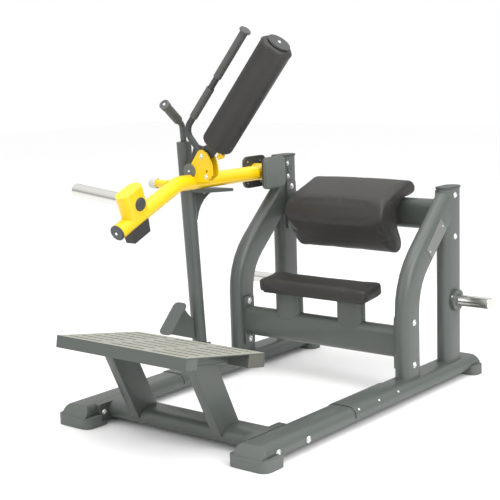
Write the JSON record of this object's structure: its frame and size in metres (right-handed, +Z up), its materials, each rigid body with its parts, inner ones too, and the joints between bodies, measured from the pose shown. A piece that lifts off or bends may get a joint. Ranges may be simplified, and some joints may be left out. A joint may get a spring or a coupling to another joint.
{
  "type": "glute press machine",
  "caption": "Plate-loaded glute press machine: tube frame with step-on footplate, seat and back pad, and a hinged side lever that carries a swing-down roller pad, handlebar and weight horn.",
  "frame": {"origin": "middle of the bounding box's base, on the floor", "axes": "+Z up; -Y towards the footplate, where the user steps on; +X to the seated user's left, the side without the lever"},
  "size_m": [1.2792, 1.559, 1.3817],
  "materials": {
    "frame_paint": "satin powder coat",
    "dark_paint": "satin powder coat",
    "yellow_paint": "gloss powder coat",
    "boot_rubber": "matte",
    "black_rubber": "matte",
    "grey_plastic": "satin",
    "pad_skin": "satin vinyl",
    "chrome": "polished",
    "steel": "turned",
    "brass": "plain",
    "tread_paint": "textured powder coat",
    "plywood": "black stain",
    "silver": "brushed"
  },
  "bodies": {
    "frame": {"left_base_rail": "frame_paint", "right_base_rail": "frame_paint", "left_front_leg": "frame_paint", "right_front_leg": "frame_paint", "left_rear_post": "frame_paint", "right_rear_post": "frame_paint", "left_step_cover": "frame_paint", "right_step_cover": "frame_paint", "left_storage_collar": "frame_paint", "right_storage_collar": "frame_paint", "front_cross_member": "frame_paint", "seat_beam": "frame_paint", "back_beam": "frame_paint", "left_seat_post": "frame_paint", "right_seat_post": "frame_paint", "footplate_front_tube": "frame_paint", "footplate_rear_tube": "frame_paint", "left_footplate_leg": "frame_paint", "right_footplate_leg": "frame_paint", "catch_foot_bracket": "frame_paint", "back_pad_bracket": "dark_paint", "pivot_bracket": "dark_paint", "left_front_boot": "boot_rubber", "right_front_boot": "boot_rubber", "left_rear_boot": "boot_rubber", "right_rear_boot": "boot_rubber", "inner_pivot_cover": "grey_plastic", "outer_pivot_cover": "grey_plastic", "left_post_cap": "grey_plastic", "right_post_cap": "grey_plastic", "seat_pad": "pad_skin", "back_pad": "pad_skin", "left_storage_horn": "chrome", "right_storage_horn": "chrome", "pivot_shaft": "steel", "footplate_tread": "tread_paint", "seat_board": "plywood", "back_pad_board": "plywood", "nameplate": "silver"},
    "lever": {"pivot_bushing": "brass", "lever_hub": "yellow_paint", "lever_arm": "yellow_paint", "arm_end_cap": "grey_plastic", "weight_horn_bracket": "yellow_paint", "weight_horn": "chrome", "arm_bumper": "black_rubber", "stop_peg": "yellow_paint", "front_carrier_plate": "yellow_paint", "rear_carrier_plate": "yellow_paint", "pad_pivot_pin": "dark_paint"},
    "swing_pad": {"swing_bracket": "dark_paint", "handlebar": "dark_paint", "lower_handle_grip": "black_rubber", "upper_handle_grip": "black_rubber", "roller_end_disc": "dark_paint"},
    "roller": {"roller_pad": "pad_skin"},
    "catch": {"catch_post": "frame_paint", "catch_rest": "frame_paint", "catch_pedal": "frame_paint", "catch_grip": "black_rubber"}
  },
  "joints": [
    {"name": "lever_arm_pivot", "type": "hinge", "parent": "frame", "child": "lever", "pos_m": [-0.33438, 0.49549, 0.796], "axis": [-1, 0, 0], "range_deg": [0, 22]},
    {"name": "pad_swing", "type": "hinge", "parent": "lever", "child": "swing_pad", "pos_m": [-0.33438, 0.05999, 0.843], "axis": [0, 1, 0], "range_deg": [0, 50.3]},
    {"name": "roller_spin", "type": "hinge", "parent": "swing_pad", "child": "roller", "pos_m": [-0.11889, 0.05999, 1.05402], "axis": [0.6388, 0, 0.7694], "continuous": true},
    {"name": "catch_lever", "type": "hinge", "parent": "frame", "child": "catch", "pos_m": [-0.40638, 0.14049, 0.118], "axis": [1, 0, 0], "range_deg": [0, 9]}
  ]
}
